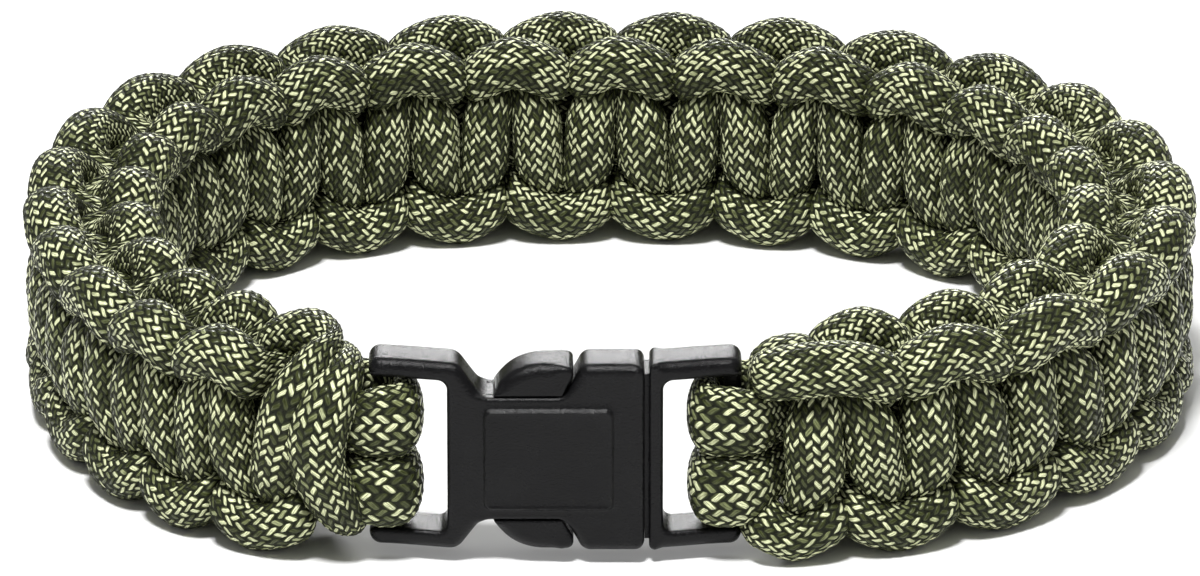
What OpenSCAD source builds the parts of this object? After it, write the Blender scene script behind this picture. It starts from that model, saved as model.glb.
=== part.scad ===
// Bracelet of knotted cord with a side-release buckle, lying on its side.
// The band is a row of cobra half knots round two core cords.
// Millimetres, +Z up. The origin is under the middle of the loop, on the surface it lies on.
// The buckle is at the front (-Y) and is fastened.

/* [Band] */
// Number of half knots round the band, an odd number
knot_count = 49; // [39:2:63]
// Distance from one half knot to the next along the middle of the band
knot_pitch = 4.42; // [4.3:0.02:5.0]
// Width of the band across its edge loops, which is its height as it lies
band_w = 17.8; // [17.4:0.1:19.4]
// Thickness of the band over the bars of the knots
band_t = 10; // [9.6:0.1:10.8]
// Free length of core cord from the plug's end to the middle of the first knot
plug_lead = 5.3; // [4.8:0.1:7]
// Length from the middle of the last knot to the socket's end, with the closing wrap on it
socket_lead = 6.6; // [6.4:0.1:9]

/* [Loop as worn] */
// How much longer than deep the loop is, as a share of its mean radius
oval = 0.055; // [0:0.005:0.09]
// How far its right back and left front corners stand out, as a share of that radius
skew = 0.018; // [-0.04:0.002:0.04]
// How uneven its back corners are, as a share of that radius
uneven = 0.012; // [-0.02:0.002:0.02]
// Length of band over which it turns from the buckle's line to the loop's own
hinge_l = 8; // [6:0.5:12]

/* [Buckle] */
// Length of the fastened buckle
buckle_l = 29; // [27:0.5:33]
// Height of the buckle across its rails, less than that of the band
buckle_h = 15.6; // [14.4:0.2:17]
// Thickness of the socket's body
body_t = 4.4; // [4.2:0.1:5.2]
// Thickness of the two cord frames
frame_t = 4.1; // [3.6:0.1:4.4]
// Height of the rails above and below each cord slot
rail_h = 1.5; // [1.2:0.1:2]
// Width of the outer bar that the core cords go round
bar_w = 1.4; // [1.2:0.1:1.6]
// Thickness of that bar
bar_t = 2.4; // [2:0.1:2.6]
// Thickness of the core cord where it is pressed flat against a bar
strap_t = 2.6; // [2.4:0.1:2.8]
// Length of each cord slot along the buckle
slot_l = 4.7; // [4.4:0.1:6]
// Length of the plug's base outside the socket
plug_base_l = 7.2; // [6.8:0.1:8.5]
// Length of the socket's cord frame
socket_frame_l = 7; // [6.6:0.1:8.5]
// Height of the socket's waist between its two side windows
waist_h = 10.2; // [9.4:0.2:10.8]
// Length of the sloping shoulders on both sides of the waist
shoulder_l = 1.8; // [1.2:0.1:2.4]
// Length of the full-height block at the socket's mouth
mouth_l = 4.5; // [3.8:0.1:5.5]
// Length of the raised panel on the socket's faces
panel_l = 10.4; // [8:0.2:11]
// Height of the raised panel
panel_h = 8.7; // [7.5:0.1:9]
// How far the panel stands proud
panel_rise = 0.25; // [0.15:0.05:0.4]
// Thickness of the plug's prongs and tongue
prong_t = 2.4; // [2.2:0.1:2.6]
// Height of each prong's arm
arm_h = 1.5; // [1.2:0.1:1.8]
// Length of the lobe that is pressed to open the buckle
lobe_l = 6.2; // [5.4:0.1:6.4]

/* [Fits] */
// Seam between the socket's mouth and the plug's base
seam = 0.35; // [0.2:0.05:0.6]
// Clearance of the prongs inside the socket
prong_gap = 0.2; // [0.15:0.05:0.3]
// Clearance between the core cords and the buckle's bars
cord_gap = 0.12; // [0.08:0.02:0.2]

/* [Hidden] */

cord_color = [0.24, 0.27, 0.15];
core_color = [0.28, 0.31, 0.17];
plastic_color = [0.06, 0.06, 0.065];
corner_fn = 48;

// Sizes of the band that follow from the ones above
half_w = band_w / 2;
half_t = band_t / 2;
half_buckle = buckle_l / 2;
first_knot = half_buckle + plug_lead;
last_knot = first_knot + (knot_count - 1) * knot_pitch;
socket_end = last_knot + socket_lead;
loop_length = socket_end + half_buckle;

// The loop seen from above is a rounded oval in polar form. Its radius is a share of the mean
// radius at each angle, and the buckle is a straight chord across its front.
front = 270;
function oval_share(a) = 1 + oval * cos(2 * a) + skew * sin(2 * a)
    + uneven * (sin(3 * a) + cos(3 * a) - cos(4 * a) - sin(4 * a));
function unit_point(a) = oval_share(a) * [cos(a), sin(a)];
angle_step = 2;
function unit_length(a0, a1) = norm(unit_point(a1) - unit_point(a0));
unit_perimeter = sum_of([for (a = [0:angle_step:360 - angle_step]) unit_length(a, a + angle_step)]);
function sum_of(list, i = 0) = i == len(list) ? 0 : list[i] + sum_of(list, i + 1);

// The arc behind the buckle is a little longer than the buckle, by its bow
front_radius = loop_length / unit_perimeter;
front_arc = 2 * front_radius * asin(half_buckle / front_radius) * PI / 180;
mean_radius = (loop_length - buckle_l + front_arc) / unit_perimeter;

// Table of [distance along the arc from the front, angle], and the two ends of the band in it
arc_table = [for (i = 0, a = front, s = 0; i <= 360 / angle_step;
    i = i + 1, s = s + mean_radius * unit_length(a, a + angle_step), a = a + angle_step) [s, a]];
function arc_point(s) = mean_radius * unit_point(lookup(s, arc_table));
band_start = arc_point(front_arc / 2);
band_end = arc_point(arc_table[len(arc_table) - 1][0] - front_arc / 2);
chord_mid = (band_start + band_end) / 2;
chord_turn = atan2(band_start.y - band_end.y, band_start.x - band_end.x);
function turned(p, a) = [p.x * cos(a) - p.y * sin(a), p.x * sin(a) + p.y * cos(a)];

// Middle line of the band in the buckle's frame: x along the buckle, y towards the wrist
function middle(s) = s <= half_buckle ? [s, 0]
    : s >= socket_end ? [s - loop_length, 0]
    : turned(arc_point(s - half_buckle + front_arc / 2) - chord_mid, -chord_turn);
heading_step = hinge_l / 16;
function heading(s) = let (d = middle(s + heading_step) - middle(s - heading_step)) atan2(d.y, d.x);
function ease(t) = let (c = max(0, min(1, t))) c * c * (3 - 2 * c);
least_heading = -10;
function whole_turn(a) = a < least_heading ? a + 360 : a;
function band_turn(s) = let (
        h = whole_turn(heading(s)),
        from_plug = ease((s - half_buckle) / hinge_l),
        to_socket = ease((socket_end - s) / hinge_l))
    s < loop_length / 2 ? h * from_plug : 360 - (360 - h) * to_socket;

// The knots are drawn tight next to the socket and looser on the way there, so every point of
// the band lies a little further along than even spacing puts it.
// columns: place as a share of the band's length from the plug, shift in knot pitches
KNOT_SHIFT = [
    [0.008, 0],
    [0.024, -0.11],
    [0.08, -0.11],
    [0.1, -0.05],
    [0.14, 0.18],
    [0.18, 0.45],
    [0.22, 0.68],
    [0.26, 0.81],
    [0.32, 0.89],
    [0.38, 0.95],
    [0.49, 1.13],
    [0.59, 1.33],
    [0.64, 1.36],
    [0.69, 1.35],
    [0.79, 1.22],
    [0.87, 1.08],
    [0.892, 0.98],
    [0.911, 0.81],
    [0.931, 0.61],
    [0.951, 0.39],
    [0.971, 0.16],
    [0.994, 0]
];
function shifted(s) = s + knot_pitch * lookup((s - half_buckle) / (socket_end - half_buckle), KNOT_SHIFT);

// A point of the band: along it, across it (up) and through it (away from the wrist)
function on_band(p) = let (s = shifted(p[0]), m = middle(s), a = band_turn(s))
    [m.x + p[2] * sin(a), m.y - p[2] * cos(a), p[1] + half_w];

// One quarter of a weave cord, from the straight bar of a knot to the loop at the band's edge.
// Each row is a section: its middle, its half size outwards and its half size sideways.
// Lengths along the band are shares of knot_pitch, across it of half_w, through it of half_t.
// columns: middle [along, across, through], outward half size, sideways half size
QUARTER = [
    [[-0.02, -0.32, 0.67], [0, -0.04, 0.33], [-0.44, 0.05, 0]],
    [[-0.16, -0.46, 0.52], [0, -0.07, 0.11], [-0.32, 0, 0.08]],
    [[-0.27, -0.58, 0], [0, -0.10, 0.11], [-0.18, 0, 0]],
    [[-0.20, -0.79, -0.56], [-0.12, -0.19, 0], [-0.20, 0.04, -0.34]]
];
bar_end = 0;
loop_end = 3;

// Where a weave cord starts behind the plug's bar, in the same columns and shares, measured
// from the first knot: the outer cord runs up behind, the inner one comes round the edge
OUTER_START = [
    [[1.03, -0.44, -0.56], [0, -0.30, 0], [0, 0, -0.22]],
    [[0.88, -0.66, -0.66], [0.12, -0.20, 0], [0, 0, -0.24]],
    [[0.52, -0.79, -0.62], [0.06, -0.18, 0], [0, 0, -0.30]]
];
INNER_START = [
    [[1.03, -0.31, 0.56], [0, -0.26, 0], [0, 0, -0.22]],
    [[0.97, -0.55, 0.62], [0.06, -0.17, 0.03], [0.02, 0, -0.24]],
    [[0.90, -0.77, 0.10], [0, -0.19, 0], [0.19, 0, -0.10]],
    [[0.68, -0.80, -0.56], [0.12, -0.18, 0], [0.14, 0, -0.34]]
];
// The outer cord ends in a wrap round the core cords, between the last knot and the socket.
// "along" is the distance back from the socket's end; the wrap's upper half mirrors its lower.
CLOSING_WRAP = [
    [[-0.70, -0.77, -0.58], [0, -0.18, 0], [0, 0, -0.34]],
    [[-0.40, -0.75, -0.46], [0, -0.16, 0], [0.12, 0, -0.22]],
    [[-0.32, -0.82, 0.04], [0, -0.16, 0], [0.18, 0, 0]],
    [[-0.60, -0.73, 0.58], [0, -0.12, 0.17], [0.26, 0, 0.05]],
    [[-0.97, -0.38, 0.86], [0, -0.03, 0.27], [0.45, 0.06, 0]]
];
// How far the last knots' bars bow away from the wrap, and how much less each one before
last_bow = 0.4;
bow_step = 0.1;

// Six corners of a cord's section: shares of the outward and of the sideways half size
CORNERS = [[0, 1], [1, 0.5], [1, -0.5], [0, -1], [-1, -0.5], [-1, 0.5]];
function section(row, flip, side, at, bow = 0) = [for (c = CORNERS) let (
        p = row[0] + c[0] * row[1] + c[1] * side * row[2],
        away = bow * max(0, 1 - pow(row[0][1] / bow_reach, 2)))
    [at + (p[0] * flip[0] - away) * knot_pitch, p[1] * flip[1] * half_w, p[2] * half_t]];
bow_reach = 0.5;

// A weave cord goes into each knot from the loop before it and out to the loop after it, and
// every second knot is turned over
function knot_side(i) = i % 2 == 1 ? 1 : -1;
function knot_at(i) = first_knot + (i - 1) * knot_pitch;
function into_knot(i, bow) = [for (r = [loop_end:-1:bar_end])
    section(QUARTER[r], [-1, -knot_side(i)], -knot_side(i), knot_at(i), bow)];
function out_of_knot(i, last_row, bow) = [for (r = [bar_end:last_row])
    section(QUARTER[r], [1, knot_side(i)], knot_side(i), knot_at(i), bow)];
function start_rows(rows) = [for (row = rows) section(row, [-1, -1], -1, knot_at(1))];
function knot_bow(i) = max(0, last_bow - (knot_count - i) * bow_step);
wrap_last = len(CLOSING_WRAP) - 1;
function closing_rows() = concat(
    [for (row = CLOSING_WRAP) section(row, [1, 1], 1, socket_end)],
    [for (r = [wrap_last:-1:1]) section(CLOSING_WRAP[r], [1, -1], 1, socket_end)]);

outer_rings = concat(start_rows(OUTER_START),
    [for (i = [1:knot_count]) let (bow = knot_bow(i))
        each concat(into_knot(i, bow), out_of_knot(i, loop_end, bow))],
    closing_rows());
inner_rings = concat(start_rows(INNER_START),
    [for (i = [1:knot_count - 1]) each concat(into_knot(i, 0), out_of_knot(i, loop_end, 0))],
    into_knot(knot_count, 0), out_of_knot(knot_count, loop_end - 1, 0));

// The inner cord is the outer cord's pattern turned over about the band's middle line
function turned_over(rings) = [for (ring = rings) [for (p = ring) [p[0], -p[1], -p[2]]]];

// Where the loop's middle lies in the buckle's frame, so that the origin is under it
outer_points = [for (ring = outer_rings, p = ring) on_band(p)];
xs = [for (p = outer_points) p.x];
ys = [for (p = outer_points) p.y];
loop_mid = [(max(xs) + min(xs)) / 2, (max(ys) + min(ys)) / 2, 0];

// A closed solid through a list of rings, each with the same number of corners
module swept(rings) {
    n = len(rings[0]);
    last = len(rings) - 1;
    points = [for (ring = rings, p = ring) on_band(p) - loop_mid];
    sides = [for (k = [0:last - 1], j = [0:n - 1]) let (m = (j + 1) % n)
        each [[k * n + j, k * n + m, (k + 1) * n + m], [k * n + j, (k + 1) * n + m, (k + 1) * n + j]]];
    ends = [[for (j = [n - 1:-1:0]) j], [for (j = [0:n - 1]) last * n + j]];
    polyhedron(points, concat(sides, ends));
}

module outer_weave_cord() {
    color(cord_color) swept(outer_rings);
}

module inner_weave_cord() {
    color(cord_color) swept(turned_over(inner_rings));
}

// The core cord comes from behind the plug's bar, over it and through the knots. It goes over
// the socket's bar, crosses over behind it and comes back the same way beside itself.
core_across = 0.195;
core_half_w = 0.183;
core_half_t = 0.3;
flat_half_t = strap_t / 2;
bar_turn_t = bar_t / 2 + cord_gap + flat_half_t;
bar_turn_w = bar_w / 2 + cord_gap + flat_half_t;
slot_h = buckle_h - 2 * rail_h;
strap_half_w = slot_h / 4 - 3 * cord_gap;
strap_mid_w = strap_half_w + cord_gap;

// Sections of the core cord over a bar, from the knots to behind the bar. "on" is measured
// from the middle of the bar towards the knots, "out" away from the wrist, and "faces" is the
// angle that the cord's outer side faces, 90 away from the wrist.
// columns: on as a share of bar_turn_w, out as one of bar_turn_t, faces, how flat it is there
BAR_TURN = [
    [2.3, 0, 80, 0],
    [1.38, 0.36, 58, 0.35],
    [0.7, 0.97, 62, 0.82],
    [0, 1.02, 90, 1],
    [-0.79, 0.8, 135, 1],
    [-1.03, 0, 180, 1],
    [-0.79, -0.8, 225, 1],
    [0, -1.02, 270, 1],
    [0.62, -1.02, 270, 1]
];
// Sections of its crossing behind the socket's bar, from the end of that turn to the middle.
// columns: on, across as a share of strap_mid_w, half width as one of strap_half_w, turned by
CROSSING = [
    [1.2, 0.79, 0.5, 45],
    [1.43, 0.32, 0.45, 90]
];
crossing_out = -1.03;

function mix(a, b, share) = a + (b - a) * share;
function core_ring(s, across, out, faces, knotward, half_across, half_out, turn = 0) =
    [for (c = CORNERS)
    [s + knotward * (c[0] * half_out * cos(faces) - c[1] * half_across * sin(turn)),
     across - c[1] * half_across * cos(turn),
     out + c[0] * half_out * sin(faces)]];
function bar_ring(row, bar_at, knotward) = core_ring(bar_at + knotward * row[0] * bar_turn_w,
    mix(core_across * half_w, strap_mid_w, row[3]), row[1] * bar_turn_t, row[2], knotward,
    mix(core_half_w * half_w, strap_half_w, row[3]), mix(core_half_t * half_t, flat_half_t, row[3]));
function crossing_ring(row, bar_at, knotward) = core_ring(bar_at + knotward * row[0] * bar_turn_w,
    row[1] * strap_mid_w, crossing_out * bar_turn_t, 270, knotward, row[2] * strap_half_w,
    flat_half_t, row[3]);

plug_bar = half_buckle - bar_w / 2;
socket_bar = socket_end + bar_w / 2;
turn_last = len(BAR_TURN) - 1;
core_rings = concat(
    [for (r = [turn_last:-1:0]) bar_ring(BAR_TURN[r], plug_bar, 1)],
    [for (i = [1:knot_count]) core_ring(knot_at(i), core_across * half_w, 0, 90, 1,
        core_half_w * half_w, core_half_t * half_t)],
    [for (row = BAR_TURN) bar_ring(row, socket_bar, -1)],
    [for (row = CROSSING) crossing_ring(row, socket_bar, -1)]);
core_last = len(core_rings) - 1;
mirrored_core = [for (r = [core_last:-1:0]) [for (p = core_rings[r]) [p[0], -p[1], p[2]]]];

module core_cords() {
    color(core_color) swept(concat(core_rings, mirrored_core));
}

// Buckle parts are drawn flat, x along the buckle and y up, and stood on the wrist's front
module in_place() {
    translate([0, 0, half_w] - loop_mid) rotate([90, 0, 0]) children();
}
module plate(thickness) {
    linear_extrude(thickness, center = true) children();
}
module rounded(l, h, r) {
    square([l - 2 * r, h], center = true);
    square([l, h - 2 * r], center = true);
    for (x = [-1, 1], y = [-1, 1]) translate([x * (l / 2 - r), y * (h / 2 - r)]) circle(r, $fn = corner_fn);
}

frame_round = rail_h;
slot_round = rail_h / 2;

// A frame for the core cords, from its inner end outwards: a wall, two rails and a thinner bar
module cord_frame(length) {
    wall = length - slot_l - bar_w;
    plate(frame_t) difference() {
        union() {
            translate([length / 2, 0]) rounded(length, buckle_h, frame_round);
            translate([length / 4, 0]) square([length / 2, buckle_h], center = true);
        }
        translate([wall + length / 2, 0]) rounded(length, slot_h, slot_round);
    }
    translate([length - bar_w / 2, 0, 0]) rotate([90, 0, 0]) linear_extrude(slot_h + rail_h, center = true) {
        square([bar_w, bar_t - bar_w], center = true);
        for (y = [-1, 1]) translate([0, y * (bar_t - bar_w) / 2]) circle(bar_w / 2, $fn = corner_fn);
    }
}

half_h = buckle_h / 2;
half_waist = waist_h / 2;
mouth_end = half_buckle - plug_base_l - seam;
mouth_start = mouth_end - mouth_l;
waist_end = mouth_start - shoulder_l;
frame_end = socket_frame_l - half_buckle;
waist_start = frame_end + shoulder_l;
body_upper = [[frame_end, half_h], [waist_start, half_waist], [waist_end, half_waist],
    [mouth_start, half_h], [mouth_end, half_h]];
function with_lower(upper) = concat(upper,
    [for (k = [len(upper) - 1:-1:0]) [upper[k].x, -upper[k].y]]);

// The prongs' room in the socket, open at the mouth and at both side windows
arm_out = half_waist;
arm_in = arm_out - arm_h;
room_half_h = arm_out + prong_gap;
room_t = prong_t + 2 * prong_gap;
lobe_start = waist_start + shoulder_l / 3;
room_start = lobe_start - 2 * prong_gap;
panel_start = waist_start;

module buckle_socket() {
    color(plastic_color) in_place() {
        translate([frame_end, 0, 0]) mirror([1, 0, 0]) cord_frame(socket_frame_l);
        difference() {
            union() {
                plate(body_t) polygon(with_lower(body_upper));
                translate([panel_start + panel_l / 2, 0, 0]) plate(body_t + 2 * panel_rise)
                    rounded(panel_l, panel_h, panel_corner);
            }
            translate([(room_start + half_buckle) / 2, 0, 0])
                cube([half_buckle - room_start, 2 * room_half_h, room_t], center = true);
        }
    }
}
panel_corner = 0.8;

// One prong, above the middle: an arm from the base and a lobe that stands out of the window.
// Its outer part is as thick as the cord frames, and it stops short of the socket's mouth.
lobe_round = half_h - arm_out - prong_gap;
module prong() {
    plate(prong_t) difference() {
        union() {
            translate([lobe_start, arm_in]) square([mouth_end + seam + prong_lap - lobe_start, arm_h]);
            lobe_outline();
        }
        past_mouth();
    }
    plate(frame_t) intersection() {
        difference() {
            lobe_outline();
            past_mouth();
        }
        translate([lobe_start - lobe_l, arm_out + prong_gap]) square([3 * lobe_l, half_h]);
    }
}
module lobe_outline() {
    intersection() {
        translate([lobe_start + lobe_round, arm_out + prong_gap]) circle(lobe_round, $fn = corner_fn);
        translate([lobe_start, arm_in]) square([2 * lobe_round, half_h]);
    }
    translate([lobe_start + lobe_round, arm_out]) square([lobe_l - lobe_round, half_h - arm_out]);
    translate([lobe_start, arm_in]) square([lobe_l - shoulder_l, arm_h + prong_gap]);
}
module past_mouth() {
    translate([-2 * prong_gap, 0]) polygon([[waist_end, arm_out], [mouth_start, half_h + prong_gap],
        [half_buckle, half_h + prong_gap], [half_buckle, arm_out]]);
}
prong_lap = 0.5;

module buckle_plug() {
    color(plastic_color) in_place() {
        translate([half_buckle - plug_base_l, 0, 0]) cord_frame(plug_base_l);
        for (side = [0, 1]) mirror([0, side, 0]) prong();
        translate([(tongue_start + mouth_end + seam + prong_lap) / 2, 0, 0])
            cube([mouth_end + seam + prong_lap - tongue_start, tongue_h, prong_t], center = true);
    }
}
tongue_start = waist_end - lobe_l / 2;
tongue_h = arm_in;

buckle_socket();
buckle_plug();
core_cords();
outer_weave_cord();
inner_weave_cord();
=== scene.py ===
"""Knotted cord bracelet with a side-release buckle, dressed in Blender.

The band's cords follow the same route as the solids they replace, worked out by the same
formula from the same sizes. Sizes are millimetres until a mesh is made. Lights, floor and the
distances inside materials are metres.
"""
import math
import bpy
import numpy as np
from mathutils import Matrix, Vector
from mathutils.geometry import delaunay_2d_cdt


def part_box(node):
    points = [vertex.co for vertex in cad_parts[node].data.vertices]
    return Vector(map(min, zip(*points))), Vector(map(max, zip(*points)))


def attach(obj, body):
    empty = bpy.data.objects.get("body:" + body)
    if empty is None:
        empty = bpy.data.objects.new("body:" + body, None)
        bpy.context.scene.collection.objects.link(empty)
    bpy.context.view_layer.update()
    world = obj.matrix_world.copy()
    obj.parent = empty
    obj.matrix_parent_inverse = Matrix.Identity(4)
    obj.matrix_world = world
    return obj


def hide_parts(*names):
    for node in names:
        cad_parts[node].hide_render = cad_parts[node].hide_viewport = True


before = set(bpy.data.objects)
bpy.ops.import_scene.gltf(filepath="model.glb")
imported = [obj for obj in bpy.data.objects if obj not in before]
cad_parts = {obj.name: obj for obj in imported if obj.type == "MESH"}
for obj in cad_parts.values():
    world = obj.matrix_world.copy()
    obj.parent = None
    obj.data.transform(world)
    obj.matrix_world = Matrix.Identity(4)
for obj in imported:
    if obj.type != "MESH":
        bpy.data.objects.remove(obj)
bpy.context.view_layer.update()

MM = 0.001

# Sizes of the band, as in the part's source
KNOTS = 49
PITCH = 4.42
HALF_W = 17.8 / 2
HALF_T = 10 / 2
PLUG_LEAD = 5.3
SOCKET_LEAD = 6.6
# Shares of the mean radius that shape the loop's oval
OVAL = 0.055
SKEW = 0.018
UNEVEN = 0.012
# Run over which the band's direction passes into the buckle's
HINGE = 8.0

# Sizes of the buckle, as in the part's source
HALF_BUCKLE = 29 / 2
BUCKLE_H = 15.6
BODY_T = 4.4
FRAME_T = 4.1
RAIL_H = 1.5
BAR_W = 1.4
BAR_T = 2.4
SLOT_L = 4.7
PLUG_BASE = 7.2
SOCKET_FRAME = 7.0
WAIST_H = 10.2
SHOULDER = 1.8
MOUTH = 4.5
PANEL_L = 10.4
PANEL_H = 8.7
PANEL_RISE = 0.25
PRONG_T = 2.4
PRONG_GAP = 0.2
ARM_H = 1.5
LOBE_L = 6.2
SEAM = 0.35
CORD_GAP = 0.12

# Places along the band: the first knot, the socket's frame, and all the way round
FIRST = HALF_BUCKLE + PLUG_LEAD
SOCKET_END = FIRST + (KNOTS - 1) * PITCH + SOCKET_LEAD
LOOP = SOCKET_END + HALF_BUCKLE


# The middle line of the band

def share(a):
    """Radius of the rounded oval at angle a, as a share of its mean radius."""
    corners = np.sin(3 * a) + np.cos(3 * a) - np.cos(4 * a) - np.sin(4 * a)
    return 1 + OVAL * np.cos(2 * a) + SKEW * np.sin(2 * a) + UNEVEN * corners


def unit(a):
    """Point of the oval at angle a, for a mean radius of one."""
    return share(a)[..., None] * np.stack([np.cos(a), np.sin(a)], -1)


FRONT_ANGLE = 270
ANGLE_STEP = 2
ANGLES = np.radians(np.arange(FRONT_ANGLE, FRONT_ANGLE + 360 + ANGLE_STEP, ANGLE_STEP))
STEPS = np.linalg.norm(np.diff(unit(ANGLES), axis=0), axis=1)
# The straight buckle stands on the chord of this arc
FRONT_R = LOOP / STEPS.sum()
FRONT_ARC = 2 * FRONT_R * math.asin(HALF_BUCKLE / FRONT_R)
MEAN_R = (LOOP - 2 * HALF_BUCKLE + FRONT_ARC) / STEPS.sum()
ARC_S = np.concatenate([[0], np.cumsum(STEPS * MEAN_R)])


def arc_point(s):
    """Point of the full-size oval at length s from its front."""
    return MEAN_R * unit(np.interp(s, ARC_S, ANGLES))


START = arc_point(np.array(FRONT_ARC / 2))
END = arc_point(np.array(ARC_S[-1] - FRONT_ARC / 2))
CHORD = (START + END) / 2
TURN = math.atan2(START[1] - END[1], START[0] - END[0])


def middle(s):
    """Middle line in the buckle's frame: x along the buckle, y towards the wrist."""
    s = np.asarray(s, float)
    p = arc_point(s - HALF_BUCKLE + FRONT_ARC / 2) - CHORD
    c, k = math.cos(-TURN), math.sin(-TURN)
    q = np.stack([p[..., 0] * c - p[..., 1] * k, p[..., 0] * k + p[..., 1] * c], -1)
    q = np.where((s <= HALF_BUCKLE)[..., None], np.stack([s, 0 * s], -1), q)
    return np.where((s >= SOCKET_END)[..., None], np.stack([s - LOOP, 0 * s], -1), q)


def ease(t):
    """Smooth step from nought to one."""
    t = np.clip(t, 0, 1)
    return t * t * (3 - 2 * t)


# Headings under this many degrees belong to the way back to the socket
LEAST_HEADING = -10


def band_turn(s):
    """Direction of the band at s, eased to the buckle's own at both ends."""
    d = middle(s + 0.5) - middle(s - 0.5)
    h = np.degrees(np.arctan2(d[..., 1], d[..., 0]))
    h = np.where(h < LEAST_HEADING, h + 360, h)
    near = h * ease((s - HALF_BUCKLE) / HINGE)
    far = 360 - (360 - h) * ease((SOCKET_END - s) / HINGE)
    return np.radians(np.where(s < LOOP / 2, near, far))


# Where the knots are drawn tight or sit loose: place as a share of the band, shift in pitches
KNOT_SHIFT = np.array([
    [0.008, 0], [0.024, -0.11], [0.08, -0.11], [0.1, -0.05], [0.14, 0.18], [0.18, 0.45],
    [0.22, 0.68], [0.26, 0.81], [0.32, 0.89], [0.38, 0.95], [0.49, 1.13], [0.59, 1.33],
    [0.64, 1.36], [0.69, 1.35], [0.79, 1.22], [0.87, 1.08], [0.892, 0.98], [0.911, 0.81],
    [0.931, 0.61], [0.951, 0.39], [0.971, 0.16], [0.994, 0],
])


def on_band(p):
    """Point of the band from (along, across, through), before it is centred."""
    place = (p[..., 0] - HALF_BUCKLE) / (SOCKET_END - HALF_BUCKLE)
    s = p[..., 0] + PITCH * np.interp(place, KNOT_SHIFT[:, 0], KNOT_SHIFT[:, 1])
    m, a = middle(s), band_turn(s)
    return np.stack([m[..., 0] + p[..., 2] * np.sin(a), m[..., 1] - p[..., 2] * np.cos(a),
                     p[..., 1] + HALF_W], -1)


# The source centres the whole loop, and the buckle's own boxes say how far that moved it
_, plug_hi = (np.array(v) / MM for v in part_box("buckle_plug"))
socket_lo, socket_hi = (np.array(v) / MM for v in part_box("buckle_socket"))
LOOP_MID = np.array([HALF_BUCKLE - plug_hi[0], -(socket_lo[1] + socket_hi[1]) / 2, 0])

# The front bends towards the wrist: how far, and where along the buckle and the band it grows,
# fades and ends
FRONT_BEND = 1.2
BEND_FROM, BEND_RUN = 6.0, 8.5
FADE_FROM, FADE_RUN = 15.0, 22.0
FRONT_FROM, FRONT_RUN = 15.0, 12.0


def bowed(p):
    """Points near the front move towards the wrist, because the buckle's frames bend with the
    wrist: not at all over its body, most at its bars, and less and less along the band."""
    x = np.abs(p[..., 0] + LOOP_MID[0])
    rise = FRONT_BEND * ease((x - BEND_FROM) / BEND_RUN) * (1 - ease((x - FADE_FROM) / FADE_RUN))
    q = p.copy()
    q[..., 1] += rise * ease((-p[..., 1] - FRONT_FROM) / FRONT_RUN)
    return q


# The weave. Each control section is a middle, an outward half size and a sideways half size,
# each [along, across, through] as shares of the pitch, the half width and the half thickness

# A quarter of a half knot, from the middle of a bar to the edge loop
QUARTER = np.array([
    [[-0.03, -0.22, 0.66], [0, -0.04, 0.37], [-0.47, 0.03, 0]],
    [[-0.14, -0.40, 0.54], [0, -0.11, 0.26], [-0.41, 0, 0.08]],
    [[-0.28, -0.51, 0.02], [0, -0.17, 0.12], [-0.27, 0, 0]],
    [[-0.27, -0.61, -0.50], [-0.16, -0.21, -0.08], [-0.18, 0.08, -0.40]],
])
# The start of the last bar, which leans over the closing wrap at its upper end
LAST_IN = np.array([
    [[-0.14, -0.30, 0.68], [0, -0.04, 0.37], [-0.47, 0.10, 0]],
    [[-0.33, -0.56, 0.60], [0, -0.14, 0.24], [-0.42, 0.06, 0.08]],
    [[-0.52, -0.74, 0.16], [0, -0.20, 0.10], [-0.36, 0, 0]],
    [[-0.64, -0.76, -0.46], [-0.10, -0.19, -0.06], [-0.20, 0.04, -0.36]],
])
# The middle of an edge loop, half a pitch past the knot, where the cord bulges
LOOP_TOP = np.array([[0.5, -0.77, -0.66], [0, -0.23, -0.06], [0, 0.05, -0.44]])
# The hidden first stretches of both working cords, behind the plug's frame
OUTER_START = np.array([
    [[1.10, -0.34, -0.56], [0, -0.30, 0], [0, 0, -0.26]],
    [[0.88, -0.50, -0.62], [0.12, -0.22, 0], [0, 0, -0.32]],
    [[0.55, -0.61, -0.60], [0.06, -0.21, 0], [0, 0, -0.38]],
])
INNER_START = np.array([
    [[1.08, -0.31, 0.56], [0, -0.26, 0], [0, 0, -0.24]],
    [[1.06, -0.50, 0.62], [0.06, -0.19, 0.03], [0.02, 0, -0.28]],
    [[1.04, -0.66, 0.10], [0, -0.21, 0], [0.24, 0, -0.10]],
    [[0.78, -0.66, -0.50], [0.12, -0.22, 0], [0.16, 0, -0.38]],
    [[0.28, -0.77, -0.64], [0.02, -0.22, -0.05], [0, 0.04, -0.42]],
])
# The inner cord's first loop reaches back to the plug's frame
FIRST_OUT = np.array([
    [[-0.20, -0.24, 0.60], [0, -0.04, 0.37], [-0.44, 0.10, 0]],
    [[-0.60, -0.46, 0.50], [0, -0.14, 0.24], [-0.36, 0, 0.08]],
    [[-0.84, -0.64, 0.04], [0, -0.17, 0.14], [-0.27, 0, 0]],
    [[-0.78, -0.74, -0.48], [-0.12, -0.19, -0.06], [-0.16, 0.08, -0.36]],
])
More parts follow.
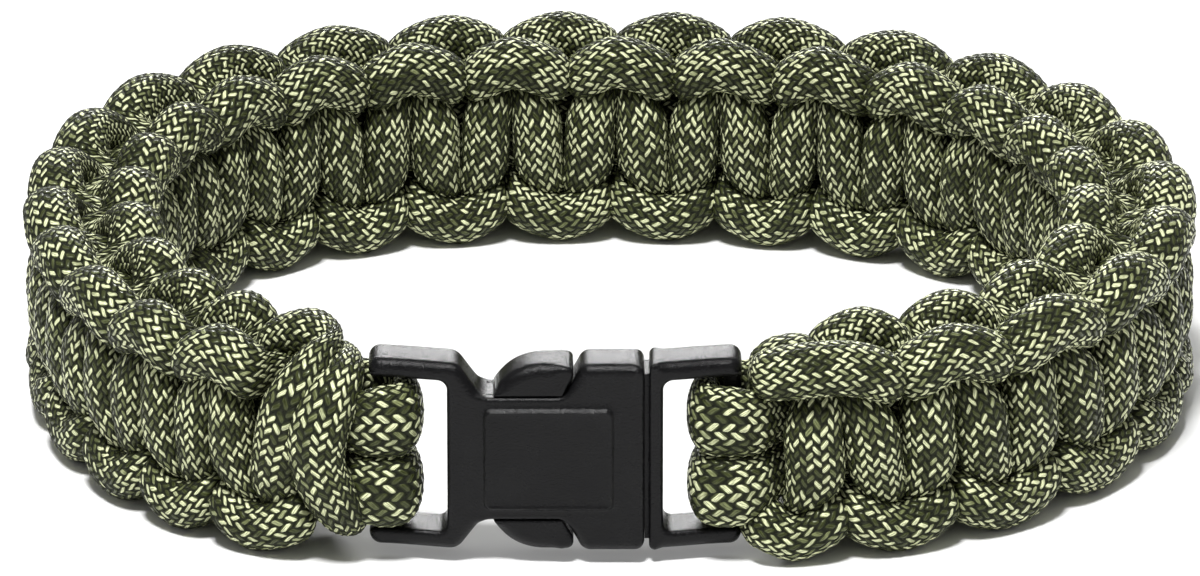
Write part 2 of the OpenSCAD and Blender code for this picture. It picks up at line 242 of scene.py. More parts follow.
# The outer cord's last turn, round the whole band next to the socket
CLOSING_WRAP = np.array([
    [[-0.95, -0.72, -0.56], [0, -0.20, 0], [0, 0, -0.38]],
    [[-0.52, -0.64, -0.50], [0.06, -0.19, 0], [0.16, 0, -0.28]],
    [[-0.37, -0.66, 0.04], [0, -0.20, 0.05], [0.34, 0, 0]],
    [[-0.43, -0.54, 0.56], [0, -0.14, 0.26], [0.40, 0.06, 0.02]],
    [[-0.64, -0.32, 0.78], [0, -0.05, 0.36], [0.44, 0.08, 0]],
    [[-0.82, 0, 0.86], [0, 0, 0.37], [0.46, 0, 0]],
    [[-0.77, 0.30, 0.82], [0, 0.05, 0.37], [0.46, -0.07, 0]],
    [[-0.58, 0.54, 0.64], [0, 0.14, 0.26], [0.43, -0.07, 0.02]],
    [[-0.41, 0.66, 0.10], [0, 0.19, 0.05], [0.38, 0, 0]],
    [[-0.46, 0.62, -0.50], [0, 0.19, 0], [0.24, 0, -0.26]],
    [[-0.80, 0.60, -0.56], [0, 0.20, 0], [0, 0, -0.36]],
])
# The last bars bow towards the plug, the last one most, in pitches
LAST_BOW = 0.12
BOW_STEP = 0.04
BOW_REACH = 0.5
# How far the bars seen from outside lean over, in pitches
LEAN = 0.1
SCALE = np.array([PITCH, HALF_W, HALF_T])
# The last row of a quarter, where its cord reaches the edge loop
EDGE_ROW = 3


def section(row, flip, side, at, bow=0.0, lean=0.0):
    """One control section of a cord in band millimetres: the row's shares, turned over along
    and across the band by flip and through it by side, and moved along to its knot."""
    r = row * np.array([flip[0], flip[1], 1.0])
    r = np.stack([r[0], r[1], side * r[2]])
    bend = bow * max(0.0, 1 - (row[0, 1] / BOW_REACH) ** 2)
    r[0, 0] -= bend + lean * np.clip(r[0, 1] / BOW_REACH, -1, 1)
    r = r * SCALE
    r[0, 0] += at
    return r


def knot_side(i):
    """Which way knot i is turned: odd and even knots mirror each other."""
    return 1 if i % 2 else -1


def knot_at(i):
    """Place of knot i along the band, before the knots are shifted."""
    return FIRST + (i - 1) * PITCH


def knot_bow(i):
    """Bow of knot i's bar, growing in even steps over the last few knots."""
    return max(0.0, LAST_BOW - (KNOTS - i) * BOW_STEP)


def into_knot(i, bow=0.0, lean=0.0):
    """From the edge loop before knot i to the middle of its bar."""
    flip = (-1, -knot_side(i))
    return [section(row, flip, -knot_side(i), knot_at(i), bow, lean) for row in QUARTER[::-1]]


def out_of_knot(i, last=EDGE_ROW, bow=0.0, lean=0.0):
    """From the middle of knot i's bar towards the next edge loop, as far as the last row."""
    flip = (1, knot_side(i))
    rows = QUARTER[:last + 1]
    return [section(row, flip, knot_side(i), knot_at(i), bow, lean) for row in rows]


def special(table, side, at):
    """A table of its own for a stretch that isn't like the other knots."""
    return [section(row, (side, side), side, at) for row in table]


def loop_top(i):
    """The one section in the middle of the edge loop after knot i."""
    return [section(LOOP_TOP, (1, knot_side(i)), knot_side(i), knot_at(i))]


def outer_sections():
    """The cord of the bars seen from outside, ending in the closing wrap."""
    rows = special(OUTER_START, -1, knot_at(1))
    for i in range(1, KNOTS):
        rows += into_knot(i, knot_bow(i), LEAN)
        rows += out_of_knot(i, EDGE_ROW, knot_bow(i), LEAN) + loop_top(i)
    rows += special(LAST_IN[::-1], -1, knot_at(KNOTS))
    rows += out_of_knot(KNOTS, EDGE_ROW, knot_bow(KNOTS), LEAN)
    return np.array(rows + special(CLOSING_WRAP, 1, SOCKET_END))


def inner_sections():
    """The cord of the bars seen from inside: the same knots, turned over."""
    rows = special(INNER_START, -1, knot_at(1)) + into_knot(1)
    rows += special(FIRST_OUT, 1, knot_at(1)) + loop_top(1)
    for i in range(2, KNOTS):
        rows += into_knot(i) + out_of_knot(i) + loop_top(i)
    rows += into_knot(KNOTS) + out_of_knot(KNOTS, EDGE_ROW - 1)
    rows = np.array(rows)
    rows[:, :, 1:] *= -1
    return rows


# The core cord, with the same sizes and rows as the part's source
FLAT_T = 1.3
CORE_ACROSS = 0.2 * HALF_W
CORE_W = 0.19 * HALF_W
CORE_T = 0.33 * HALF_T
TURN_T = BAR_T / 2 + CORD_GAP + FLAT_T
TURN_W = BAR_W / 2 + CORD_GAP + FLAT_T
SLOT_H = BUCKLE_H - 2 * RAIL_H
STRAP_W = SLOT_H / 4 - 3 * CORD_GAP
STRAP_MID = STRAP_W + CORD_GAP
# How much fuller the visible cord is than its solid, round the bars
FULLER = 0.1
# Round a bar: along, outward, the way it faces in degrees, and how much it is flattened
BAR_TURN = [
    (2.3, 0, 80, 0.25), (1.38, 0.36, 58, 0.55), (0.7, 0.97, 62, 0.82), (0, 1.02, 90, 1),
    (-0.79, 0.8, 135, 1), (-1.03, 0, 180, 1), (-0.79, -0.8, 225, 1), (0, -1.02, 270, 1),
    (0.62, -1.02, 270, 1),
]
# Behind the socket's bar, over to the other run: along, across, width, turn in degrees
CROSSING = [(1.2, 0.79, 0.5, 45), (1.43, 0.32, 0.45, 90)]


def core_section(s, across, out, faces, knotward, half_w, half_t, turn=0.0):
    """Section of the core cord, whose flat side faces a given way and whose width may turn."""
    f, t = math.radians(faces), math.radians(turn)
    return np.array([
        [s, across, out],
        [knotward * half_t * math.cos(f), 0, half_t * math.sin(f)],
        [-knotward * half_w * math.sin(t), -half_w * math.cos(t), 0],
    ])


def bar_section(row, at, knotward):
    """Section beside or round a bar, between the round cord in the knots and the flat one."""
    on, out, faces, flat = row

    def blend(a, b):
        """From a for the round cord to b for the flat one."""
        return a + (b - a) * flat

    return core_section(at + knotward * on * TURN_W, blend(CORE_ACROSS, STRAP_MID),
                        out * TURN_T, faces, knotward,
                        blend(CORE_W, STRAP_W + FULLER), blend(CORE_T, FLAT_T + FULLER))


def core_sections():
    """Round the plug's bar, through the knots, round the socket's bar, and back the same way."""
    plug, socket = HALF_BUCKLE - BAR_W / 2, SOCKET_END + BAR_W / 2
    rows = [bar_section(r, plug, 1) for r in reversed(BAR_TURN)]
    rows += [core_section(knot_at(i), CORE_ACROSS, 0, 90, 1, CORE_W, CORE_T)
             for i in range(1, KNOTS + 1)]
    rows += [bar_section(r, socket, -1) for r in BAR_TURN]
    rows += [core_section(socket - on * TURN_W, across * STRAP_MID, -1.03 * TURN_T, 270, -1,
                          width * STRAP_W, FLAT_T, turn) for on, across, width, turn in CROSSING]
    half = np.array(rows)
    return np.concatenate([half, half[::-1] * [1, -1, 1]])


def spline(rows, at, knots):
    """Smooth curve through the sections: cubic pieces with slopes from their neighbours."""
    n = len(rows)
    flat = rows.reshape(n, -1)
    h = np.diff(knots)[:, None]
    d = np.diff(flat, axis=0) / h
    slope = np.empty_like(flat)
    slope[1:-1] = (d[:-1] * h[1:] + d[1:] * h[:-1]) / (h[:-1] + h[1:])
    slope[0], slope[-1] = d[0], d[-1]
    k = np.clip(np.searchsorted(knots, at, side="right") - 1, 0, n - 2)
    w = h[k]
    t = ((at - knots[k])[:, None]) / w
    a = (2 * t ** 3 - 3 * t ** 2 + 1) * flat[k] + (t ** 3 - 2 * t ** 2 + t) * w * slope[k]
    b = (3 * t ** 2 - 2 * t ** 3) * flat[k + 1] + (t ** 3 - t ** 2) * w * slope[k + 1]
    return (a + b).reshape(-1, 3, 3)


# The braid of the sheath: columns round the cord, and the length of one row of strands
COLUMNS = 28
ROW_L = 0.84
# How far a strand stands proud, and the power of the section's rounded oval
RELIEF = 0.035
ROUNDNESS = 2.15
# Fine steps that measure a cord's length before it is cut into even rings
MEASURE_STEPS = 12000
# The cord is a little uneven: a random share of its size, every few millimetres
LUMP = 0.02
LUMP_STEP = 3.0


def woven_tube(name, rows, seed):
    """Cord swept through its sections. Each ring is a rounded oval
    middle + outward * sin + sideways * cos, with a point for each column of the braid, which
    stands proud on every second ring, where one of its strands comes up."""
    n = COLUMNS
    chords = np.linalg.norm(np.diff(rows[:, 0], axis=0), axis=1)
    knots = np.concatenate([[0], np.cumsum(np.sqrt(chords))])
    fine = np.linspace(0, knots[-1], MEASURE_STEPS)
    path = on_band(spline(rows, fine, knots)[:, 0])
    length = np.concatenate([[0], np.cumsum(np.linalg.norm(np.diff(path, axis=0), axis=1))])
    rings = int(length[-1] / (ROW_L / 2)) + 1
    along = np.linspace(0, length[-1], rings)
    sec = spline(rows, np.interp(along, length, fine), knots)

    th = 2 * math.pi * np.arange(n) / n
    a, b = (np.sign(w) * np.abs(w) ** (2 / ROUNDNESS) for w in (np.sin(th), np.cos(th)))
    off = sec[:, None, 1] * a[:, None] + sec[:, None, 2] * b[:, None]
    size = np.linalg.norm(off, axis=-1, keepdims=True)
    j, i = np.arange(n)[None, :], np.arange(rings)[:, None]
    lift = np.where((i + j) % 2 == 1, RELIEF, -RELIEF)
    places = np.arange(0, length[-1] + 2 * LUMP_STEP, LUMP_STEP)
    lumps = np.random.default_rng(seed).normal(0, LUMP, len(places))
    lump = np.interp(along, places, lumps)
    off = off * (1 + lift[..., None] / size + lump[:, None, None])
    verts = bowed(on_band(sec[:, None, 0] + off) - LOOP_MID).reshape(-1, 3)

    k, m = i[:-1], (j + 1) % n
    corners = np.broadcast_arrays(k * n + j, k * n + m, (k + 1) * n + m, (k + 1) * n + j)
    quads = np.stack(corners, -1).reshape(-1, 4)
    caps = np.stack([j[0, ::-1], (rings - 1) * n + j[0]])
    # Outward faces: the quads are tried against the middle line
    tri = verts[quads[:, :3]]
    normal = np.cross(tri[:, 1] - tri[:, 0], tri[:, 2] - tri[:, 0])
    mid = bowed(on_band(sec[:, 0]) - LOOP_MID)[quads[:, 0] // n]
    if np.sum(normal * (tri[:, 0] - mid)) < 0:
        quads, caps = quads[:, ::-1], caps[:, ::-1]
    mesh = bpy.data.meshes.new(name)
    mesh.from_pydata((verts * MM).tolist(), [], quads.tolist() + caps.tolist())

    # The braid's map: columns run across it and rows along it, and the last column closes
    # past its right side
    uv = mesh.uv_layers.new(name="braid")
    at = np.empty(len(mesh.loops), np.int64)
    mesh.loops.foreach_get("vertex_index", at)
    ring, col = at // n, at % n
    u = col + 0.5
    count = quads.size
    q = col[:count].reshape(-1, 4)
    wraps = (q.max(1) == n - 1) & (q.min(1) == 0)
    u[:count][(wraps[:, None] & (q == 0)).reshape(-1)] = n + 0.5
    v = along[ring] / ROW_L
    uv.data.foreach_set("uv", np.stack([u, v], -1).astype(np.float32).ravel())
    mesh.polygons.foreach_set("use_smooth", np.ones(len(mesh.polygons), bool))
    mesh.update()
    piece = bpy.data.objects.new(name, mesh)
    bpy.context.scene.collection.objects.link(piece)
    return piece


# Shader helpers

def wire(tree, node, inputs):
    """Each input takes a link from a socket, or a constant."""
    for key, value in inputs:
        if hasattr(value, "links"):
            tree.links.new(value, node.inputs[key])
        else:
            node.inputs[key].default_value = value


def new_node(tree, kind, inputs=(), **settings):
    """A shader node with its settings made first, then its inputs."""
    node = tree.nodes.new(kind)
    for key, value in settings.items():
        setattr(node, key, value)
    wire(tree, node, inputs)
    return node


def calc(tree, op, *values):
    """One sum on values or sockets."""
    return new_node(tree, "ShaderNodeMath", enumerate(values), operation=op).outputs[0]


def ramp(tree, value, stops):
    """Colour picked from stops of (place, colour)."""
    r = new_node(tree, "ShaderNodeValToRGB", [(0, value)])
    el = r.color_ramp.elements
    while len(el) < len(stops):
        el.new(0.5)
    for e, (p, c) in zip(el, stops):
        e.position, e.color = p, c
    return r.outputs[0]


def mixed(tree, a, b, fac, blend="MIX"):
    """Colour a passing into colour b as fac goes from nought to one."""
    inputs = [(6, a), (7, b), (0, fac)]
    return new_node(tree, "ShaderNodeMix", inputs, data_type="RGBA", blend_type=blend).outputs[2]


def noise(tree, vector, scale, detail, roughness=0.5):
    """Cloudy noise about one half."""
    inputs = [("Vector", vector), ("Scale", scale), ("Detail", detail), ("Roughness", roughness)]
    return new_node(tree, "ShaderNodeTexNoise", inputs).outputs[0]


def between(tree, value, low, high):
    """A value of nought to one, spread from low to high."""
    inputs = [("Value", value), ("To Min", low), ("To Max", high)]
    return new_node(tree, "ShaderNodeMapRange", inputs).outputs[0]


def bump(tree, height, depth):
    """Normal of a surface raised by height times depth, in metres."""
    inputs = [("Strength", 1.0), ("Distance", depth), ("Height", height)]
    return new_node(tree, "ShaderNodeBump", inputs).outputs[0]


def grey(v):
    """Colour with the same share of red, green and blue."""
    return (v, v, v, 1)


BLACK, WHITE = grey(0), grey(1)


def rgb(r, g, b):
    """Linear colour from values of 0 to 255."""
    c = np.array([r, g, b]) / 255
    linear = np.where(c <= 0.04045, c / 12.92, ((c + 0.055) / 1.055) ** 2.4)
    return (*linear.tolist(), 1.0)


def new_material(name):
    """A material with its node tree and its surface shader."""
    m = bpy.data.materials.new(name)
    m.use_nodes = True
    return m, m.node_tree, m.node_tree.nodes["Principled BSDF"]


# The sheath's strands: how far one climbs across its column, how far along it shows before it
# goes under, and the half width of the line along its crest, in rows
SLANT = 0.62
STRAND_END = 0.72
CREST = 0.25
# Filaments in a strand, and how often they change across a column
FILAMENTS = 11.0
FILAMENT_RUN = 1.6
# Depths of the strands and of the plastic's grain, and the scales of the noises
STRAND_DEPTH = 0.00023
GRAIN_DEPTH = 0.00006
PATCH_SCALE = 330
GRAIN_SCALE = 5200
TINT_SCALE = 420


def braid_group():
    """Braid of slanting strands. Columns run along the cord; in each, strands slant one way, and
    the other way in the next. A strand's height is high along its middle and falls to its sides
    and to both ends, where it goes under. Gives the height, a random tone for each strand, how
    near the strand's middle a point is, the narrow line along its crest, and its filaments."""
    g = bpy.data.node_groups.new("braid", "ShaderNodeTree")
    g.interface.new_socket(name="Vector", in_out="INPUT", socket_type="NodeSocketVector")
    for name in ("Height", "Tone", "Edge", "Crest", "Streak"):
        g.interface.new_socket(name=name, in_out="OUTPUT", socket_type="NodeSocketFloat")
    gin, gout = g.nodes.new("NodeGroupInput"), g.nodes.new("NodeGroupOutput")

    def less(a, b):
        """a minus b."""
        return calc(g, "SUBTRACT", a, b)

    def times(a, b):
        """a multiplied by b."""
        return calc(g, "MULTIPLY", a, b)

    def fall(value, reach, power):
        """One where the value is nought, falling to nought where it is reach away."""
        away = calc(g, "POWER", times(calc(g, "ABSOLUTE", value), 1 / reach), power)
        return calc(g, "MAXIMUM", less(1.0, away), 0.0)

    sep = new_node(g, "ShaderNodeSeparateXYZ", [(0, gin.outputs["Vector"])])
    u, v = sep.outputs[0], sep.outputs[1]
    col = calc(g, "FLOOR", u)
    across = less(less(u, col), 0.5)
    odd = calc(g, "FLOORED_MODULO", col, 2.0)
    sign = calc(g, "MULTIPLY_ADD", odd, -2.0, 1.0)
    slant = times(times(across, sign), SLANT)
    t = calc(g, "ADD", calc(g, "ADD", v, slant), times(odd, 0.5))
    row = calc(g, "FLOOR", t)
    down = less(less(t, row), 0.5)
    side = fall(down, 0.5, 2.0)
    end = fall(less(down, times(slant, 2.0)), STRAND_END, 4.0)
    cell = new_node(g, "ShaderNodeCombineXYZ", [
        (0, calc(g, "FLOORED_MODULO", col, float(COLUMNS))), (1, row)])
    tone = new_node(g, "ShaderNodeTexWhiteNoise", [("Vector", cell.outputs[0])],
                    noise_dimensions="2D")
    spread = new_node(g, "ShaderNodeCombineXYZ", [
        (0, times(t, FILAMENTS)), (1, times(u, FILAMENT_RUN))])
    streak = new_node(g, "ShaderNodeTexNoise", [
        ("Vector", spread.outputs[0]), ("Scale", 1.0), ("Detail", 1.0)], noise_dimensions="2D")
    wire(g, gout, [
        ("Height", times(calc(g, "SQRT", side), end)), ("Tone", tone.outputs["Value"]),
        ("Edge", times(side, end)), ("Crest", times(fall(down, CREST, 2.0), end)),
        ("Streak", streak.outputs[0])])
    return g


def cord_material(name):
    """Braided sheath. A random tone picks each strand's colour, and broad patches have more paler
    strands. A light line of painted highlight runs along each crest, brightest on the palest
    strands; painted shade darkens each strand towards the gaps at its sides and ends, and
    filaments are darker."""
    m, tree, bsdf = new_material(name)
    uv = new_node(tree, "ShaderNodeUVMap", uv_map="braid")
    braid = new_node(tree, "ShaderNodeGroup", [(0, uv.outputs[0])], node_tree=braid_group())
    spot = new_node(tree, "ShaderNodeTexCoord").outputs["Object"]
    patch = calc(tree, "MULTIPLY_ADD", noise(tree, spot, PATCH_SCALE, 2), 0.8, -0.4)
    tone = calc(tree, "ADD", braid.outputs["Tone"], patch)
    strand = ramp(tree, tone, [
        (0.20, rgb(32, 36, 16)), (0.50, rgb(52, 57, 30)), (0.90, rgb(82, 88, 53))])
    # Colours of the crest line, a painted highlight: dull green on strands of low tone, a pale
    # glint on strands of high tone.
    crest_tone_and_glint = ramp(tree, tone, [
        (0.26, rgb(60, 65, 35)), (0.42, rgb(126, 132, 90)), (0.62, rgb(220, 224, 180))])
    # Mask of the narrow crest line that carries the painted highlight.
    crest = ramp(tree, braid.outputs["Crest"], [(0.14, BLACK), (0.36, WHITE)])
    # Mask of painted shade: each strand darkens towards its sides and ends, where it passes under
    # its neighbours.
    edge = ramp(tree, braid.outputs["Edge"], [(0.2, BLACK), (0.7, WHITE)])
    streak = ramp(tree, braid.outputs["Streak"], [(0.3, grey(0.5)), (0.7, grey(1.3))])
    # The near-black gap colour is painted shade between the strands; the crest colours carry the
    # painted highlight.
    woven = mixed(tree, rgb(12, 14, 6), mixed(tree, strand, crest_tone_and_glint, crest), edge)
    wire(tree, bsdf, [
        ("Base Color", mixed(tree, woven, streak, 1.0, "MULTIPLY")),
        ("Roughness", between(tree, braid.outputs["Crest"], 0.75, 0.2)),
        ("Normal", bump(tree, braid.outputs["Height"], STRAND_DEPTH)),
        ("Specular IOR Level", 0.36), ("Specular Tint", (0.94, 1.0, 0.74, 1))])
    return m


def plastic_material(name):
    """Black moulded plastic with a fine grain."""
    m, tree, bsdf = new_material(name)
    spot = new_node(tree, "ShaderNodeTexCoord").outputs["Object"]
    grain = noise(tree, spot, GRAIN_SCALE, 3, 0.65)
    tint = noise(tree, spot, TINT_SCALE, 3)
    colour = ramp(tree, tint, [(0.3, rgb(12, 12, 13)), (0.7, rgb(17, 17, 18))])
    wire(tree, bsdf, [
        ("Base Color", colour), ("Roughness", between(tree, grain, 0.16, 0.28)),
        ("Normal", bump(tree, grain, GRAIN_DEPTH)), ("Specular IOR Level", 0.18)])
    return m


CORD_MAT = cord_material("cord_sheath")
PLASTIC = plastic_material("moulded_plastic")

# The cords
for name, rows, seed in (("outer_weave", outer_sections(), 1), ("inner_weave", inner_sections(), 2),
                         ("core", core_sections(), 3)):
    piece = woven_tube(name, rows, seed)
    piece.data.materials.append(CORD_MAT)
    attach(piece, "root")
    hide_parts({"outer_weave": "outer_weave_cord", "inner_weave": "inner_weave_cord",
                        "core": "core_cords"}[name])


# The buckle. Its parts are rounded plates, drawn as outlines in (x along the buckle, w up). A
# part is its points and a list of face arrays

def rounded_loop(corners, spacing=0.6, turn=8.0):
    """Closed outline through corners (x, w, radius), anticlockwise: each corner is an arc that
    touches both its sides, and the straight runs between arcs are cut into even steps."""
    c = np.array(corners, float)
    p, r = c[:, :2], c[:, 2]
    a = p - np.roll(p, 1, 0)
    b = np.roll(p, -1, 0) - p
    a /= np.linalg.norm(a, axis=1, keepdims=True)
    b /= np.linalg.norm(b, axis=1, keepdims=True)
    phi = np.arctan2(a[:, 0] * b[:, 1] - a[:, 1] * b[:, 0], (a * b).sum(1))
    reach = r * np.tan(np.abs(phi) / 2)
    runs = []
    for k in range(len(p)):
        start = p[k] - a[k] * reach[k]
        side = np.array([-a[k][1], a[k][0]]) * np.sign(phi[k])
        n = max(1, int(math.degrees(abs(phi[k])) / turn)) if r[k] > 0 else 0
        ang = np.linspace(0, phi[k], n + 1)[:, None]
        centre = start + side * r[k]
        out = start - centre
        runs.append(centre + out * np.cos(ang) + np.array([-out[1], out[0]]) * np.sin(ang))
        end, j = p[k] + b[k] * reach[k], (k + 1) % len(p)
        gap = p[j] - a[j] * reach[j] - end
        m = int(np.linalg.norm(gap) / spacing) + 1
        runs.append(end + gap * (np.arange(1, m) / m)[:, None])
    return np.concatenate(runs)


def mirrored_loop(half):
    """Outline symmetric about the middle, from the corners of one half of it."""
    return rounded_loop(half + [(x, -w, r) for x, w, r in half[::-1]])


def inward(loop):
    """Unit normals of a closed outline, towards its left, which is the plate's inside."""
    d = np.roll(loop, -1, 0) - np.roll(loop, 1, 0)
    d /= np.linalg.norm(d, axis=1, keepdims=True)
    return np.stack([-d[:, 1], d[:, 0]], -1)


def inside(points, loop):
    """Which points lie inside a closed outline, by counting crossings to their right."""
    x, y = points[:, 0, None], points[:, 1, None]
    x0, y0 = loop[:, 0], loop[:, 1]
    x1, y1 = np.roll(x0, -1), np.roll(y0, -1)
    cross = ((y0 > y) != (y1 > y)) & (x < (x1 - x0) * (y - y0) / (y1 - y0 + 1e-12) + x0)
    return cross.sum(1) % 2 == 1


def apart(points, line, least):
    """The points that lie more than a least distance from every point of a line."""
    return points[np.linalg.norm(points[:, None] - line[None], axis=2).min(1) > least]


# Flat strip between a plate's rounded edge and the grid of its face, how far grid points keep
# from lines as a share of the grid, and how near two points are taken as one
LIP = 0.07
CLEAR = 0.4
WELD = 1e-6


def rounded_plate(outline, half, radius, marks=(), grid=0.5, steps=6):
    """Plate with rounded edges. Its rings follow the outline, moved in by r (1 - cos t) where
    the height is half - r (1 - sin t), for t from 0 at the side to a quarter turn at the face.
    The faces lie at +half and -half, on a grid of points and any marked lines."""
    n = len(outline)
    normal = inward(outline)
    r = radius(outline)[:, None]
    t = np.linspace(0, math.pi / 2, steps)
    offsets = [r * (1 - math.cos(a)) for a in t] + [r + LIP]
    drops = [r[:, 0] * (1 - math.sin(a)) for a in t] + [0 * r[:, 0]]
    front = []
    for off, drop in zip(offsets, drops):
        q = outline + normal * off
        front.append(np.column_stack([q, half(q) - drop]))
    rings = [ring * [1, 1, -1] for ring in front[::-1]] + front

    # The face's points: its border, the marked lines, and a grid that keeps clear of both
    cap = front[-1][:, :2]
    lo, hi = cap.min(0), cap.max(0)
    gx, gy = np.meshgrid(np.arange(lo[0], hi[0], grid), np.arange(lo[1], hi[1], grid))
    g = np.column_stack([gx.ravel(), gy.ravel()])
    g = apart(g[inside(g, cap)], cap, CLEAR * grid)
    edges, at = [(k, (k + 1) % n) for k in range(n)], n
    for m in marks:
        g = apart(g, m, CLEAR * grid)
        edges += [(at + k, at + (k + 1) % len(m)) for k in range(len(m))]
        at += len(m)
    pts = np.concatenate([cap, *marks, g])
    points = [Vector(v) for v in pts.tolist()]
    vs, _, fs, ids, _, _ = delaunay_2d_cdt(points, edges, [], 0, WELD)
    xy = np.array([v[:] for v in vs])
    tri = np.array([f[:3] for f in fs])
    tri = tri[inside(xy[tri].mean(1), cap)]
    turned = np.cross(xy[tri[:, 1]] - xy[tri[:, 0]], xy[tri[:, 2]] - xy[tri[:, 0]]) < 0
    tri[turned] = tri[turned][:, ::-1]
    tri = np.array([i[0] for i in ids])[tri]

    # Both faces share their border with the first and the last ring
    last = (len(rings) - 1) * n
    body = np.concatenate(rings)
    face = np.column_stack([pts[n:], half(pts[n:])])
    verts = np.concatenate([body, face, face * [1, 1, -1]])
    top = np.where(tri < n, tri + last, tri - n + len(body))
    low = np.where(tri < n, tri, tri - n + len(body) + len(face))[:, ::-1]
    k, j = np.arange(len(rings) - 1)[:, None] * n, np.arange(n)[None, :]
    m = (j + 1) % n
    quads = np.stack([k + j, k + m, k + n + m, k + n + j], -1).reshape(-1, 4)
    return verts, [quads, top, low]


def bar(loop, w0, w1):
    """Upright rod: a section in (x, outward) carried straight from w0 to w1."""
    n = len(loop)
    verts = [np.column_stack([loop[:, 0], np.full(n, w), loop[:, 1]]) for w in (w0, w1)]
    j = np.arange(n)
    m = (j + 1) % n
    return np.concatenate(verts), [np.stack([j, j + n, m + n, m], -1), np.stack([j, n + j[::-1]])]


def block(x0, x1, w0, w1, half_t):
    """Plain box from x0 to x1, w0 to w1 and half_t to each side."""
    return bar(np.array([[x0, -half_t], [x1, -half_t], [x1, half_t], [x0, half_t]]), w0, w1)


def mirrored(part):
    """The same part below the buckle's middle, its faces turned round."""
    v, faces = part
    return v * [1, -1, 1], [q[:, ::-1] for q in faces]


def centred(v):
    """From (x along the buckle, w up, outward) to the place on the floor."""
    return np.column_stack([v[:, 0], -v[:, 2], v[:, 1] + HALF_W]) - LOOP_MID


def new_object(name, v, faces):
    """A mesh object in the scene, from points in millimetres and a list of face arrays."""
    mesh = bpy.data.meshes.new(name)
    mesh.from_pydata((v * MM).tolist(), [], sum((q.tolist() for q in faces), []))
    piece = bpy.data.objects.new(name, mesh)
    bpy.context.scene.collection.objects.link(piece)
    return piece


# Edges sharper than this many degrees stay sharp
SHARP = 38


def buckle_piece(name, parts, cut=None):
    """One half of the buckle, joined from its parts, with a box cut out of it where one is given.
    """
    starts = np.cumsum([0] + [len(v) for v, _ in parts])
    faces = [q + at for at, (_, part) in zip(starts, parts) for q in part]
    piece = new_object(name, bowed(centred(np.concatenate([v for v, _ in parts]))), faces)
    if cut:
        v, f = block(*cut)
        room = new_object(name + "_room", centred(v), f)
        mod = piece.modifiers.new("room", "BOOLEAN")
        mod.object, mod.operation, mod.solver = room, "DIFFERENCE", "EXACT"
        shown = piece.evaluated_get(bpy.context.evaluated_depsgraph_get())
        done = bpy.data.meshes.new_from_object(shown)
        piece.modifiers.clear()
        piece.data = done
        bpy.data.objects.remove(room)
    piece.data.polygons.foreach_set("use_smooth", np.ones(len(piece.data.polygons), bool))
    piece.data.set_sharp_from_angle(angle=math.radians(SHARP))
    piece.data.materials.clear()
    piece.data.materials.append(PLASTIC)
    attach(piece, "root")
    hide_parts(name[:-4])
    return piece


# Places along the buckle and half heights
HALF_H = BUCKLE_H / 2
HALF_SLOT = SLOT_H / 2
HALF_WAIST = WAIST_H / 2
PLUG_START = HALF_BUCKLE - PLUG_BASE
MOUTH_END = PLUG_START - SEAM
MOUTH_START = MOUTH_END - MOUTH
WAIST_END = MOUTH_START - SHOULDER
FRAME_END = SOCKET_FRAME - HALF_BUCKLE
WAIST_START = FRAME_END + SHOULDER
SLOT_IN = HALF_BUCKLE - BAR_W - SLOT_L
BAR_X = HALF_BUCKLE - BAR_W / 2
LOBE_START = WAIST_START + SHOULDER / 3

# Radii of the edges: plain, round the slots, along the seam, and how much less at the waist and
# at the mouth
EDGE_R = 0.85
SLOT_EDGE_R = 0.42
SEAM_EDGE_R = 0.38
WAIST_LESS = 0.5
MOUTH_LESS = 0.4
# Radii of corners: the frames', their slots' outer and inner ones, the socket's mouth, shoulder
# and waist, the plug's seam side, and the bars'
FRAME_CORNER = 0.93
SLOT_OUT_CORNER = 0.54
SLOT_IN_CORNER = 0.75
MOUTH_CORNER = 0.95
MOUTH_SHOULDER = 1.0
WAIST_CORNER = 1.1
FRAME_SHOULDER = 1.3
SEAM_CORNER = 0.5
BAR_CORNER = 0.65

# The panel: its corners, the width of its slope, the height and width of its rim, and the
# marked lines that carry them
PANEL_ROUND = 0.8
PANEL_SLOPE = 0.36
PANEL_RIM = 0.07
RIM_W = 0.16
LINE_GAP = 0.09
LINES = 8


def panel_line(d):
    """The panel's outline, moved in by d."""
    a, b = WAIST_START + d, WAIST_START + PANEL_L - d
    h, r = PANEL_H / 2 - d, PANEL_ROUND - d
    return rounded_loop([(b, -h, r), (b, h, r), (a, h, r), (a, -h, r)], spacing=0.5)


def socket_half(q):
    """Half thickness of the socket: the frame's, eased up to the body's past its shoulder, and
    the panel's rise on a narrow slope inside the panel's rounded border, with a fine rim."""
    x, w = q[:, 0], q[:, 1]
    h = FRAME_T / 2 + (BODY_T - FRAME_T) / 2 * ease((x - FRAME_END) / SHOULDER)
    dx = np.abs(x - (WAIST_START + PANEL_L / 2)) - (PANEL_L / 2 - PANEL_ROUND)
    dw = np.abs(w) - (PANEL_H / 2 - PANEL_ROUND)
    corner = np.hypot(np.maximum(dx, 0), np.maximum(dw, 0))
    away = corner + np.minimum(np.maximum(dx, dw), 0) - PANEL_ROUND
    rim = np.exp(-((away + PANEL_SLOPE) / RIM_W) ** 2)
    return h + PANEL_RISE * ease(-away / PANEL_SLOPE) + PANEL_RIM * rim


def near_slot(q):
    """Which points belong to a frame's slot, on either half of the buckle."""
    return (np.abs(q[:, 0]) > SLOT_IN - 0.2) & (np.abs(q[:, 1]) < HALF_SLOT + 0.3)


